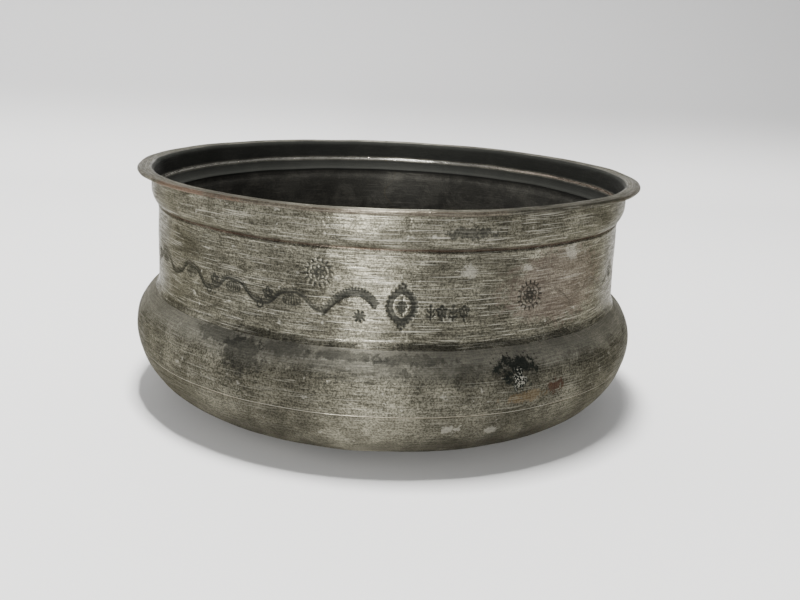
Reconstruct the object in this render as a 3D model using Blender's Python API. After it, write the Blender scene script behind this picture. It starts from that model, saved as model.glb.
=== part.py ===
"""Shaving bowl of tinned copper sheet: a flat lip, a stepped collar, a straight neck and a
squat round belly. The wall is one strip, closed at the back by a toothed brazed seam, and the
flat bottom pan is lapped inside its lower edge and brazed.

The bowl stands on its base at z = 0, its axis is Z, and the side seam is at the back (+Y).
Metres throughout.
"""

import math

import bmesh
import bpy
from mathutils import Matrix, Vector

# Sheet and joints
SHEET = 0.0010          # thickness of the hammered copper sheet
SPELTER = 0.0005        # thickness of the brass left between lapped sheets
CLEARANCE = 0.0003      # air modelled between pieces that touch

# Neck: a plain band, a little wider at the waist than at the top
NECK_RADIUS = 0.0921    # outside, just under the collar
NECK_HEIGHT = 0.0317    # from the waist crease up to the collar's step
NECK_FLARE = 0.0006     # how much wider the waist is

# Collar: a wider band over the neck, reached by a rounded step
COLLAR_STEP = 0.0027    # how far the collar stands outside the neck
COLLAR_TURN = 0.0058    # height of the rounded step
COLLAR_HEIGHT = 0.0059  # straight band from the step up to the lip's underside
COLLAR_SWEEP = math.radians(66)  # part of a quarter turn that the step goes through

# Lip: turned out flat, with its edge folded under as a hem
LIP_WIDTH = 0.0052      # from the collar's outside to the lip's edge
LIP_TURN = 0.0007       # radius of the inside bend under the lip
HEM_WIDTH = 0.0028
HEM_THICKNESS = 0.0015
HEM_ROUND = 0.0004      # rounding of the folded edge

# Belly: a short shoulder arc out to the widest line, then a rounder arc in to the flat base
BELLY_BULGE = 0.0086    # how far the widest line stands outside the waist
SHOULDER_HEIGHT = 0.0165  # from the widest line up to the waist crease
BELLY_ROUND = 0.0290    # radius of the lower arc, and so the height of the widest line

# Bottom seam: the pan's rim is set in and lies inside the wall's lower edge
SEAM_DROP = 0.0070      # along the wall, from the widest line down to the wall's edge
LAP = 0.0060            # how far the pan's rim goes up inside the wall
SPELTER_FILLET = 0.0006  # how far the brass shows above the pan's rim

# Side seam: teeth cut in both ends of the wall strip, filled with brass
TOOTH_DEPTH = 0.0024    # how far a tooth reaches to each side of the seam's line
TOOTH_FLAT = 0.0040     # length of a tooth's straight edge
SIDE_SPELTER = 0.0008   # width of the brass line, measured around the wall
SIDE_CLEARANCE = 0.00045  # air beside the brass around the wall; a flank leaves 0.3 mm across

# Fineness of the mesh
SEGMENTS = 72
ARC_STEP = math.radians(11)
STEP_PIECES = 4
FLOOR_RINGS = 3
MERGE = 1e-6            # points nearer than this are one point
SPLIT_MARGIN = 0.0004   # no extra point is put nearer than this to one that is there

# Worked out from the sizes above
WAIST_RADIUS = NECK_RADIUS + NECK_FLARE
COLLAR_RADIUS = NECK_RADIUS + COLLAR_STEP
LIP_RADIUS = COLLAR_RADIUS + LIP_WIDTH
BELLY_RADIUS = WAIST_RADIUS + BELLY_BULGE
BASE_RADIUS = BELLY_RADIUS - BELLY_ROUND
SHOULDER_ROUND = (SHOULDER_HEIGHT**2 + BELLY_BULGE**2) / (2 * BELLY_BULGE)
WAIST_Z = BELLY_ROUND + SHOULDER_HEIGHT
STEP_Z = WAIST_Z + NECK_HEIGHT
BAND_Z = STEP_Z + COLLAR_TURN
TOTAL_HEIGHT = BAND_Z + COLLAR_HEIGHT + LIP_TURN + SHEET
LAP_DEPTH = SHEET + SPELTER + 2 * CLEARANCE


def arc(centre, radius, start, end):
    """Points (r, z) on a circle in the section plane, from angle start to angle end."""
    steps = max(2, math.ceil(abs(end - start) / ARC_STEP))
    turns = [start + (end - start) * k / steps for k in range(steps + 1)]
    return [(centre[0] + radius * math.cos(t), centre[1] + radius * math.sin(t)) for t in turns]


def belly_arc(first, last, depth=0.0):
    """The lower belly's arc, between two distances along the outside below the widest line."""
    centre = (BASE_RADIUS, BELLY_ROUND)
    return arc(centre, BELLY_ROUND - depth, -first / BELLY_ROUND, -last / BELLY_ROUND)


def path_lengths(points):
    """Distance along the outline from its first point to each point."""
    lengths = [0.0]
    for before, after in zip(points, points[1:]):
        lengths.append(lengths[-1] + math.dist(before, after))
    return lengths


def split_at(points, marks):
    """The outline with a point added at each mark, a distance along it, that has none near."""
    lengths = path_lengths(points)
    out = [points[0]]
    for k in range(1, len(points)):
        span = lengths[k] - lengths[k - 1]
        for mark in marks:
            if lengths[k - 1] + SPLIT_MARGIN < mark < lengths[k] - SPLIT_MARGIN:
                share = (mark - lengths[k - 1]) / span
                a, b = points[k - 1], points[k]
                out.append((a[0] + (b[0] - a[0]) * share, a[1] + (b[1] - a[1]) * share))
        out.append(points[k])
    return out


def inward(points, depth):
    """The outline moved towards the inside of the sheet by depth, with mitred corners."""
    normals = []
    for a, b in zip(points, points[1:]):
        run = Vector((b[0] - a[0], b[1] - a[1])).normalized()
        normals.append(Vector((-run.y, run.x)))
    moved = []
    for k, point in enumerate(points):
        before = normals[max(k - 1, 0)]
        after = normals[min(k, len(normals) - 1)]
        mitre = (before + after) / (1 + before.dot(after))
        moved.append((point[0] - depth * mitre.x, point[1] - depth * mitre.y))
    return moved


def wall_outline():
    """The wall's outside from the lip's underside down to its lower edge."""
    bend = (COLLAR_RADIUS + LIP_TURN, BAND_Z + COLLAR_HEIGHT)
    points = [(LIP_RADIUS - HEM_WIDTH, TOTAL_HEIGHT - SHEET)]
    points += arc(bend, LIP_TURN, math.radians(90), math.radians(180))
    flat = math.cos(COLLAR_SWEEP)
    for k in range(STEP_PIECES + 1):
        turn = COLLAR_SWEEP * k / STEP_PIECES
        out = (math.cos(turn) - flat) / (1 - flat)
        down = math.sin(turn) / math.sin(COLLAR_SWEEP)
        points.append((NECK_RADIUS + COLLAR_STEP * out, BAND_Z - COLLAR_TURN * down))
    shoulder = (BELLY_RADIUS - SHOULDER_ROUND, BELLY_ROUND)
    rise = math.asin(SHOULDER_HEIGHT / SHOULDER_ROUND)
    points += arc(shoulder, SHOULDER_ROUND, rise, 0.0)
    points += belly_arc(0.0, SEAM_DROP)[1:]
    return points


def tooth_marks(length):
    """Distances down the wall at which the side seam turns, and the lean after each turn."""
    ramp = 2 * TOOTH_DEPTH
    marks, leans = [], []
    place, lean = LIP_WIDTH + COLLAR_HEIGHT, TOOTH_DEPTH
    while place + ramp + SPLIT_MARGIN < length:
        marks += [place, place + ramp]
        leans += [lean, -lean]
        lean = -lean
        place += ramp + TOOTH_FLAT
    return marks, leans


def lean_at(place, marks, leans):
    """How far the side seam lies from its middle line at a distance down the wall."""
    if place <= marks[0]:
        return leans[0]
    for k in range(1, len(marks)):
        if place <= marks[k]:
            share = (place - marks[k - 1]) / (marks[k] - marks[k - 1])
            return leans[k - 1] + (leans[k] - leans[k - 1]) * share
    return leans[-1]


def wall_stations():
    """Pairs (outside point, inside point, lean of the side seam), from the hem to the edge."""
    outline = wall_outline()
    marks, leans = tooth_marks(path_lengths(outline)[-1])
    outline = split_at(outline, marks)
    top, low = TOTAL_HEIGHT, TOTAL_HEIGHT - HEM_THICKNESS
    hem = [((LIP_RADIUS, low + HEM_ROUND), (LIP_RADIUS, top - HEM_ROUND))]
    hem += [((LIP_RADIUS - inset, low), (LIP_RADIUS - inset, top))
            for inset in (HEM_ROUND, HEM_WIDTH - CLEARANCE)]
    stations = [(outside, inside, leans[0]) for outside, inside in hem]
    places = path_lengths(outline)
    for place, outside, inside in zip(places, outline, inward(outline, SHEET)):
        stations.append((outside, inside, lean_at(place, marks, leans)))
    return stations


def pan_stations():
    """The pan's sheet from its rim, set in by the lap, out to the belly and in to its centre."""
    edge = SEAM_DROP + CLEARANCE
    floor = BELLY_ROUND * math.radians(90)
    outline = belly_arc(SEAM_DROP - LAP, edge, LAP_DEPTH)
    outline += belly_arc(edge, floor)
    outline += [(BASE_RADIUS * k / FLOOR_RINGS, 0.0) for k in reversed(range(FLOOR_RINGS))]
    return [(a, b, 0.0) for a, b in zip(outline, inward(outline, SHEET))]


def seam_stations():
    """The brass between the wall's lower edge and the pan's rim."""
    outline = belly_arc(SEAM_DROP - LAP - SPELTER_FILLET, SEAM_DROP, SHEET + CLEARANCE)
    return [(a, b, 0.0) for a, b in zip(outline, inward(outline, SPELTER))]


def finish(name, bm, material):
    """Turns the mesh outwards, shades it and makes it a named object."""
    bmesh.ops.recalc_face_normals(bm, faces=bm.faces)
    mesh = bpy.data.meshes.new(name)
    bm.to_mesh(mesh)
    bm.free()
    mesh.materials.append(material)
    mesh.shade_smooth()
    mesh.set_sharp_from_angle(angle=math.radians(30))
    piece = bpy.data.objects.new(name, mesh)
    bpy.context.scene.collection.objects.link(piece)
    return piece


def section_loop(bm, stations, meets_axis=False):
    """Vertices and edges round a sheet's section: down the outside and back up the inside.
    A section that meets the axis has no edge on it."""
    place = bm.verts.layers.int.new("place")
    corners = [a for a, _, _ in stations] + [b for _, b, _ in reversed(stations)]
    verts = [bm.verts.new((r, 0.0, z)) for r, z in corners]
    edges = []
    for number, vert in enumerate(verts):
        vert[place] = number
        if meets_axis and number == len(stations) - 1:
            continue
        edges.append(bm.edges.new((vert, verts[(number + 1) % len(verts)])))
    return verts, edges


def full_ring(name, stations, material, meets_axis=False):
    """A sheet turned all the way round."""
    bm = bmesh.new()
    verts, edges = section_loop(bm, stations, meets_axis)
    bmesh.ops.spin(bm, geom=verts + edges, axis=(0, 0, 1), cent=(0, 0, 0),
                   angle=2 * math.pi, steps=SEGMENTS)
    bmesh.ops.remove_doubles(bm, verts=bm.verts, dist=MERGE)
    return finish(name, bm, material)


def open_ring(name, stations, material, start, sweep, steps):
    """A sheet turned from start through sweep, with both ends leaning as the side seam does."""
    bm = bmesh.new()
    verts, edges = section_loop(bm, stations)
    place = bm.verts.layers.int["place"]
    turn = Matrix.Rotation(start, 3, "Z")
    bmesh.ops.rotate(bm, verts=verts, cent=(0, 0, 0), matrix=turn)
    spun = bmesh.ops.spin(bm, geom=verts + edges, axis=(0, 0, 1), cent=(0, 0, 0),
                          angle=sweep, steps=steps)
    last = [item for item in spun["geom_last"] if isinstance(item, bmesh.types.BMVert)]
    last.sort(key=lambda vert: vert[place])
    count = len(stations)
    for end in (verts, last):
        for k, vert in enumerate(end):
            lean = stations[k if k < count else 2 * count - 1 - k][2]
            angle = lean / WAIST_RADIUS
            vert.co = Matrix.Rotation(angle, 3, "Z") @ vert.co
        for k in range(count - 1):
            bm.faces.new((end[k], end[k + 1], end[2 * count - 2 - k], end[2 * count - 1 - k]))
    return finish(name, bm, material)


def metal(name, colour, roughness):
    """A plain metallic finish."""
    material = bpy.data.materials.new(name)
    material.use_nodes = True
    shader = material.node_tree.nodes["Principled BSDF"]
    shader.inputs["Base Color"].default_value = (*colour, 1.0)
    shader.inputs["Metallic"].default_value = 0.9
    shader.inputs["Roughness"].default_value = roughness
    return material


def build():
    """Clears the scene and makes the four pieces."""
    for old in list(bpy.data.objects):
        bpy.data.objects.remove(old, do_unlink=True)
    tinned_wall = metal("worn_tin_on_copper", (0.36, 0.35, 0.30), 0.42)
    tinned_pan = metal("worn_tin_on_copper_pan", (0.33, 0.32, 0.27), 0.48)
    ring_brass = metal("spelter_ring", (0.52, 0.41, 0.22), 0.45)
    line_brass = metal("spelter_line", (0.56, 0.44, 0.24), 0.45)

    back = math.radians(90)
    brass_angle = SIDE_SPELTER / WAIST_RADIUS
    slit_angle = brass_angle + 2 * SIDE_CLEARANCE / WAIST_RADIUS
    stations = wall_stations()
    open_ring("side_wall", stations, tinned_wall,
              back + slit_angle / 2, 2 * math.pi - slit_angle, SEGMENTS)
    open_ring("side_seam_braze", stations, line_brass,
              back - brass_angle / 2, brass_angle, 1)
    full_ring("bottom_pan", pan_stations(), tinned_pan, meets_axis=True)
    full_ring("bottom_seam_braze", seam_stations(), ring_brass)


build()
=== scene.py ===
"""A shaving bowl of tinned copper sheet, worn, dark inside, with an engraved neck.

Angles round the bowl are measured from the front (-Y) towards the right (+X). Metres throughout.
"""

import math

import bpy
import numpy as np
from mathutils import Matrix, Quaternion, Vector


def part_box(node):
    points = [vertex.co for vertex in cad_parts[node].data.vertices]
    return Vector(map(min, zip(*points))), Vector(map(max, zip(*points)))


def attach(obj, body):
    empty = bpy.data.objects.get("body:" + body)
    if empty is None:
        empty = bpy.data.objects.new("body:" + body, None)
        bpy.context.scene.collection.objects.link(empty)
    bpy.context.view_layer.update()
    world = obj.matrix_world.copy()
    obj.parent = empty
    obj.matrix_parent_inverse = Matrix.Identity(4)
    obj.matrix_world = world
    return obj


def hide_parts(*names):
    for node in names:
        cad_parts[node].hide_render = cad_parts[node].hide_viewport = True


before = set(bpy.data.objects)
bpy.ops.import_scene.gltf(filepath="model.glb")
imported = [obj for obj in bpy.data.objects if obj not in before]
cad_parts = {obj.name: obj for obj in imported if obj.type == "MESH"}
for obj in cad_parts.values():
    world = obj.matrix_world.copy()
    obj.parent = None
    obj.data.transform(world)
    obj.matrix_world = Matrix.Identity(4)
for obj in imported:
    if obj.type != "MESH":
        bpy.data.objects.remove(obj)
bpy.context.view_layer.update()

# ---------------------------------------------------------------------------------------------
# The wall: one strip of copper sheet, a millimetre thick, raised to a collar, a straight neck
# and the upper half of the belly, then tinned. It is shown as three lengths that meet at its
# two creases, the lip with its collar, the engraved neck, and the shoulder.

WALL_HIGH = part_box("side_wall")[1]
RIM_HEIGHT = WALL_HIGH.z
BELLY_RADIUS = WALL_HIGH.x
SHEET = 0.0010
NECK_RADIUS = 0.0921
WAIST_RADIUS = 0.0927
COLLAR_RADIUS = 0.0948
LIP_RADIUS = 0.1000
STEP_LOW = 0.0767        # height of the crease under the collar's step
STEP_HIGH = 0.0830       # height at which the step starts to turn in
STEP_SWEEP = math.radians(66)
WAIST_HEIGHT = 0.0452
CREASE = (0.0939, 0.0429)   # where the flare at the waist meets the shoulder
BEAD_HEIGHT, BEAD_RISE, BEAD_WIDTH = 0.0757, 0.00030, 0.00055
BELLY_ROUND = 0.0290     # height of the belly's widest line, and radius of its lower arc
LIP_BEND = 0.0007
HEM_WIDTH = 0.0028
HEM_THICKNESS = 0.0015
HEM_ROUND = 0.0006
SEAM_DROP = 0.0070       # distance from the widest line down to the wall's lower edge
TOOTH = 0.0024           # how far the side seam's teeth swing to either side
TOOTH_HALF = 0.0088      # distance along the wall from one tooth to the next
TOOTH_RAMP = 0.0048
FIRST_TOOTH = 0.0135
SEAM_BRASS = 0.0008      # width of the brass in the side seam
CREASE_ROUNDING = 0.00028
LEAN_FROM, LEAN_OVER = math.radians(168), math.radians(11)   # where columns start to lean
FINE = 0.0001            # spacing of the points an outline is first worked out at


def straight(start, end):
    """Points (r, z) on a straight run, evenly spaced."""
    count = max(2, round(math.dist(start, end) / FINE) + 1)
    share = np.linspace(0.0, 1.0, count)[:, None]
    return np.array(start) * (1 - share) + np.array(end) * share


def turned_arc(centre, radius, start, end):
    """Points (r, z) on a circle: the centre plus radius times (cosine, sine) of the angle."""
    count = max(5, round(abs(end - start) * radius / FINE) + 1)
    angle = np.linspace(start, end, count)
    return np.array(centre) + radius * np.stack([np.cos(angle), np.sin(angle)], axis=1)


def travelled(points):
    """The distance of each point along the outline."""
    return np.r_[0.0, np.cumsum(np.hypot(*np.diff(points[:, :2], axis=0).T))]


def headings(points):
    """The direction of the outline at each point, one long."""
    run = np.gradient(points[:, :2], axis=0)
    return run / np.hypot(run[:, 0], run[:, 1])[:, None]


def even(points, step):
    """The outline with points every step along its length, ends and further columns kept."""
    gaps = np.hypot(*np.diff(points[:, :2], axis=0).T)
    points = points[np.r_[True, gaps > 1e-9]]
    length = travelled(points)
    count = max(2, round(length[-1] / step) + 1)
    place = np.linspace(0.0, length[-1], count)
    return np.stack([np.interp(place, length, column) for column in points.T], axis=1)


def softened(points, rounding):
    """The outline with its corners rounded: each point is the mean of its neighbours under a
    bell curve of width rounding, with the ends carried on straight so that they stay put."""
    reach = int(4 * rounding / FINE)
    bell = np.exp(-0.5 * (np.arange(-reach, reach + 1) * FINE / rounding) ** 2)
    bell /= bell.sum()
    before = 2 * points[0] - points[reach:0:-1]
    after = 2 * points[-1] - points[-2:-reach - 2:-1]
    padded = np.concatenate([before, points, after])
    return np.stack([np.convolve(column, bell, "valid") for column in padded.T], axis=1)


def with_length(points):
    """The outline with a third column, the distance along it."""
    return np.column_stack([points[:, :2], travelled(points)])


def set_in(points, depth):
    """The outline moved depth towards the inside of the sheet, square to its own direction."""
    run = headings(points)
    moved = points.copy()
    moved[:, :2] -= depth * np.stack([-run[:, 1], run[:, 0]], axis=1)
    return moved


def belly_curve(first, last, depth=0.0):
    """The lower belly between two distances below the widest line, set in by depth."""
    return turned_arc((BELLY_RADIUS - BELLY_ROUND, BELLY_ROUND), BELLY_ROUND - depth,
                      -first / BELLY_ROUND, -last / BELLY_ROUND)


def wall_face():
    """The wall's outside from under the lip to its lower edge: bend, collar, step, neck, belly."""
    under_lip = RIM_HEIGHT - SHEET
    bend = (COLLAR_RADIUS + LIP_BEND, under_lip - LIP_BEND)
    turn = np.linspace(0.0, STEP_SWEEP, 80)
    flat = math.cos(STEP_SWEEP)
    step_out = (np.cos(turn) - flat) / (1 - flat)
    step_down = np.sin(turn) / math.sin(STEP_SWEEP)
    step = np.stack([NECK_RADIUS + (COLLAR_RADIUS - NECK_RADIUS) * step_out,
                     STEP_HIGH - (STEP_HIGH - STEP_LOW) * step_down], axis=1)
    bulge = BELLY_RADIUS - CREASE[0]
    rise = CREASE[1] - BELLY_ROUND
    shoulder = (rise**2 + bulge**2) / (2 * bulge)
    parts = [
        straight((LIP_RADIUS - HEM_WIDTH, under_lip), (bend[0], under_lip)),
        turned_arc(bend, LIP_BEND, math.radians(90), math.radians(180)),
        straight((COLLAR_RADIUS, bend[1]), (COLLAR_RADIUS, STEP_HIGH)),
        step,
        straight((NECK_RADIUS, STEP_LOW), (WAIST_RADIUS, WAIST_HEIGHT)),
        straight((WAIST_RADIUS, WAIST_HEIGHT), CREASE),
        turned_arc((BELLY_RADIUS - shoulder, BELLY_ROUND), shoulder,
                   math.asin(rise / shoulder), 0.0),
        belly_curve(0.0, SEAM_DROP),
    ]
    face = softened(even(np.concatenate(parts), FINE), CREASE_ROUNDING)
    face[:, 0] += BEAD_RISE * np.exp(-((face[:, 1] - BEAD_HEIGHT) / BEAD_WIDTH) ** 2)
    face[:, 0] -= BEAD_RISE * np.exp(-((face[:, 1] - STEP_LOW) / BEAD_WIDTH) ** 2)
    return with_length(face)


def columns_of(stretches):
    """Angles round the bowl from stretches (start, end, spacing at the neck)."""
    angles = []
    for start, end, spacing in stretches:
        count = round((end - start) * NECK_RADIUS / spacing)
        angles.append(np.linspace(start, end, count, endpoint=False))
    return np.concatenate([*angles, [stretches[-1][1]]])


FRONT_REACH = math.radians(54)
BACK_REACH = math.radians(176)
SLIT = SEAM_BRASS / 2 / NECK_RADIUS
ROUND_THE_NECK = columns_of([
    (-math.pi + SLIT, -BACK_REACH, 0.0005), (-BACK_REACH, -FRONT_REACH, 0.00095),
    (-FRONT_REACH, FRONT_REACH, 0.00033), (FRONT_REACH, BACK_REACH, 0.00095),
    (BACK_REACH, math.pi - SLIT, 0.0005)])
ROUND_THE_REST = columns_of([
    (-math.pi + SLIT, -BACK_REACH, 0.0005), (-BACK_REACH, BACK_REACH, 0.0009),
    (BACK_REACH, math.pi - SLIT, 0.0005)])


def leaning(angles, along):
    """The columns' angles at each distance along the wall, moved near the side seam so that its
    ends swing from side to side as its teeth do: a triangle wave with its tops cut off."""
    wave = np.arcsin(np.sin((along - FIRST_TOOTH) * math.pi / TOOTH_HALF)) * 2 / math.pi
    lean = -TOOTH * np.clip(wave * TOOTH_HALF / TOOTH_RAMP, -1, 1)
    lean = np.where(along < FIRST_TOOTH - TOOTH_RAMP / 2, TOOTH, lean) / NECK_RADIUS
    near = np.clip((np.abs(angles) - LEAN_FROM) / LEAN_OVER, 0, 1)
    return angles[None, :] + lean[:, None] * (near * near * (3 - 2 * near))[None, :]


def waves(points, seed, longest, shortest, count=40):
    """Smooth unevenness at points in space: a sum of cosine waves with random directions,
    phases and lengths between longest and shortest, scaled to a spread of one."""
    draw = np.random.default_rng(seed)
    total = np.zeros(points.shape[:-1])
    for _ in range(count):
        way = draw.normal(size=3)
        way *= 2 * math.pi / np.linalg.norm(way) / draw.uniform(shortest, longest)
        total += np.cos(points @ way + draw.uniform(0, 2 * math.pi))
    return total / math.sqrt(count / 2)


HAMMERING = 0.00012      # spread of the hammered unevenness
DENT_LONG, DENT_SHORT = 0.050, 0.014
RIM_LIFT = 0.0009        # how far the lip is bent up at the right of the front
RIM_LIFT_AT, RIM_LIFT_WIDTH = math.radians(48), math.radians(34)
RIM_LIFT_FROM = 0.074


def hammered(points):
    """The points moved a little outwards or inwards and up or down, as a hammer leaves them,
    with the lip bent up in one place."""
    x, y, z = points[..., 0], points[..., 1], points[..., 2]
    radius = np.maximum(np.hypot(x, y), 1e-9)
    out = HAMMERING * waves(points, 11, DENT_LONG, DENT_SHORT)
    up = HAMMERING / 2 * waves(points, 12, DENT_LONG, DENT_SHORT)
    angle = np.arctan2(x, -y)
    lifted = np.exp(-((angle - RIM_LIFT_AT) / RIM_LIFT_WIDTH) ** 2)
    high = np.clip((z - RIM_LIFT_FROM) / (RIM_HEIGHT - RIM_LIFT_FROM), 0, 1)
    up = up + RIM_LIFT * lifted * high
    return np.stack([x * (1 + out / radius), y * (1 + out / radius),
                     np.maximum(z + up, 0.0)], axis=-1)


def turned_points(section, angles):
    """A section (r, z, along) turned: x is r sin(angle), y is -r cos(angle), z is z."""
    r, z = section[:, 0, None], section[:, 1, None]
    return np.stack(np.broadcast_arrays(r * np.sin(angles), -r * np.cos(angles), z), axis=-1)


def placed(name, data):
    """A new object in the scene."""
    made = bpy.data.objects.new(name, data)
    bpy.context.scene.collection.objects.link(made)
    return made


def piece_from(name, vertices, faces, masks):
    """An object from vertices, a list of face arrays of equal length each, and masks."""
    mesh = bpy.data.meshes.new(name)
    totals = np.concatenate([np.full(len(group), group.shape[1]) for group in faces])
    corners = np.concatenate([group.reshape(-1) for group in faces])
    mesh.vertices.add(len(vertices))
    mesh.vertices.foreach_set("co", vertices.astype(np.float32).reshape(-1))
    mesh.loops.add(len(corners))
    mesh.loops.foreach_set("vertex_index", corners.astype(np.int32))
    mesh.polygons.add(len(totals))
    mesh.polygons.foreach_set("loop_start", np.r_[0, np.cumsum(totals)[:-1]].astype(np.int32))
    mesh.update(calc_edges=True)
    for key, mask in masks.items():
        layer = mesh.attributes.new(key, "FLOAT", "POINT")
        layer.data.foreach_set("value", mask.astype(np.float32).reshape(-1))
    mesh.shade_smooth()
    mesh.set_sharp_from_angle(angle=math.radians(50))
    return placed(name, mesh)


def end_cap(outside, inside, along, inside_along):
    """Triangles across an open end, between the rows of its outside and of its inside, both
    taken from the hem down. Each row in turn, in order of its distance along the sheet, makes
    a triangle with the last row passed on either side."""
    place = np.concatenate([along[1:], inside_along[1:]])
    from_outside = np.r_[np.ones(len(along) - 1, int), np.zeros(len(inside_along) - 1, int)]
    order = np.argsort(place, kind="stable")
    from_outside = from_outside[order]
    a = np.cumsum(from_outside) - from_outside
    b = np.cumsum(1 - from_outside) - (1 - from_outside)
    following = np.where(from_outside, outside[np.minimum(a + 1, len(outside) - 1)],
                         inside[np.minimum(b + 1, len(inside) - 1)])
    return np.stack([outside[a], following, inside[b]], axis=-1)


def ring_piece(name, points, masks, outside_rows=0):
    """A mesh from a grid of points, rows round a closed section and columns round the bowl.
    It closes on itself round the bowl or, given how many rows are its outside, is capped."""
    rows, columns = points.shape[:2]
    index = np.arange(rows * columns).reshape(rows, columns)
    if not outside_rows:
        left, right = index, np.roll(index, -1, axis=1)
    else:
        left, right = index[:, :-1], index[:, 1:]
    below, below_right = np.roll(left, -1, axis=0), np.roll(right, -1, axis=0)
    faces = [np.stack([left, below, below_right, right], axis=-1).reshape(-1, 4)]
    if outside_rows:
        along = masks["along"][:, 0]
        for column in (0, -1):
            cap = end_cap(index[:outside_rows, column], index[outside_rows:, column][::-1],
                          along[:outside_rows], along[outside_rows:][::-1])
            faces.append(cap if column else cap[:, ::-1])
    return piece_from(name, points.reshape(-1, 3), faces, masks)


LEDGE_HEIGHT, LEDGE_WIDTH = 0.0822, 0.0008
PAINTED_SHADE_FROM = 0.0006       # distance from the ledge's crest at which the painted shade starts
PAINTED_SHADE_BELOW_STEP = 0.0012


def ledge_glint_and_shade_mask(section, outside_rows):
    """One on the crest of the ledge that the collar's step makes inside, where a highlight is
    painted, minus one on the collar above it and on the slope below it, where shade is painted,
    nought elsewhere."""
    above = section[:, 1] - LEDGE_HEIGHT
    crest = np.exp(-(above / LEDGE_WIDTH) ** 2)
    dark = np.clip((abs(above) - PAINTED_SHADE_FROM) / PAINTED_SHADE_FROM, 0, 1)
    dark *= section[:, 1] > STEP_LOW - PAINTED_SHADE_BELOW_STEP
    inside = (np.arange(len(section)) >= outside_rows) & (section[:, 0] < COLLAR_RADIUS)
    return (crest - dark) * inside


def inner_mask(section, outside_rows):
    """How stained each point is: nought outside, one inside, and less on the top of the lip,
    which is worn bright, and on the crest of the ledge that the collar's step makes inside,
    which carries a painted highlight."""
    ledge = np.maximum(ledge_glint_and_shade_mask(section, outside_rows), 0)
    lip = np.clip((section[:, 0] - COLLAR_RADIUS - 0.0002) / 0.0008, 0, 1)
    bright = np.maximum(0.9 * ledge, 0.75 * lip)
    return np.where(np.arange(len(section)) < outside_rows, 0.0, 1 - bright)


def all_round(shape, **rows):
    """Masks from one value a row, each the same all along its row."""
    return {key: np.broadcast_to(row[:, None], shape) for key, row in rows.items()}


def wall_masks(section, outside_rows, shape):
    """The masks that the wall's material reads, with nothing engraved."""
    return all_round(shape, along=section[:, 2], inner=inner_mask(section, outside_rows),
                     ledge=ledge_glint_and_shade_mask(section, outside_rows), engraved=np.zeros(len(section)))


def wall_piece(name, outside, inside, carve=None):
    """One length of the wall. The section runs down its outside and back up its inside."""
    section = np.concatenate([outside, inside])
    angles = leaning(ROUND_THE_NECK if carve else ROUND_THE_REST, section[:, 2])
    points = turned_points(section, angles)
    masks = wall_masks(section, len(outside), angles.shape)
    if carve:
        depth, mask = carve(angles, section[:, 1, None] + 0 * angles)
        depth[len(outside):] = 0
        mask[len(outside):] = 0
        inward = np.stack([-np.sin(angles), np.cos(angles), 0 * angles], axis=-1)
        points = points + inward * depth[..., None]
        masks["engraved"] = mask
    return ring_piece(name, hammered(points), masks, len(outside))


def show_as(piece, node, material):
    """The piece rides on the bowl, stands for a solid and takes its finish from a slot."""
    piece.data.materials.append(material)
    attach(piece, "root")
    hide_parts(node)


# The engraving, in strokes on the flattened neck: u is the distance round it from the front
# and v the height. Each stroke is a line with a half width and a depth.
ENGRAVED_RADIUS = 0.0924
VINE_WAVE = 23.6         # millimetres from crest to crest
VINE_RISE = 3.0
VINE_CREST = -8.0        # one crest's distance round the neck
MM = 0.001


def stroke(points, half_width=0.40, depth=0.16):
    """A stroke through points in millimetres."""
    return (np.asarray(points, float) * MM, half_width * MM, depth * MM)


def moved(strokes, u, v, turn=0.0, size=1.0):
    """The strokes scaled, turned and moved to (u, v) millimetres."""
    c, s = size * math.cos(turn), size * math.sin(turn)
    turning = np.array([[c, s], [-s, c]])
    return [(line @ turning + np.array([u, v]) * MM, half, depth)
            for line, half, depth in strokes]


def oval(wide, high, point=0.0, count=44):
    """A closed oval; point above nought draws its top and bottom out into points."""
    t = np.linspace(0, 2 * math.pi, count)
    return np.stack([wide / 2 * np.cos(t) * np.abs(np.cos(t)) ** point,
                     high / 2 * np.sin(t)], axis=1)


def dots(places, half_width=0.5, depth=0.2):
    """Round punch marks."""
    return [stroke([(x, y), (x + 0.01, y)], half_width, depth) for x, y in places]


def rays(count, inner, outer, start=0.0, half_width=0.3, depth=0.16):
    """Short straight cuts round a centre."""
    turns = start + np.arange(count) * 2 * math.pi / count
    return [stroke([(inner * math.cos(t), inner * math.sin(t)),
                    (outer * math.cos(t), outer * math.sin(t))], half_width, depth)
            for t in turns]


def ticks(line, every, length, side, half_width=0.28, depth=0.15):
    """Short cuts standing off one side of a line, as shading."""
    line = even(np.asarray(line, float), every)
    run = headings(line)
    away = side * np.stack([-run[:, 1], run[:, 0]], axis=1) * length
    return [stroke([a, b], half_width, depth) for a, b in zip(line, line + away + run * 0.2)]


def curl(size):
    """A spiral that winds in from its stem, a little over one turn."""
    t = np.linspace(0, 2 * math.pi * 1.15, 26)
    r = size * (1 - 0.75 * t / t[-1])
    return np.stack([size - r * np.cos(t), r * np.sin(t)], axis=1)


def petals(count, inner, outer, width, half_width=0.3, depth=0.14):
    """Rounded petals round a centre, each a loop from the middle outwards and back."""
    made = []
    for k in range(count):
        turn = 2 * math.pi * k / count
        t = np.linspace(0, math.pi, 9)
        loop = np.stack([inner + (outer - inner) * np.sin(t), width * np.cos(t) / 2], axis=1)
        made += moved([stroke(loop, half_width, depth)], 0, 0, turn)
    return made


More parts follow.
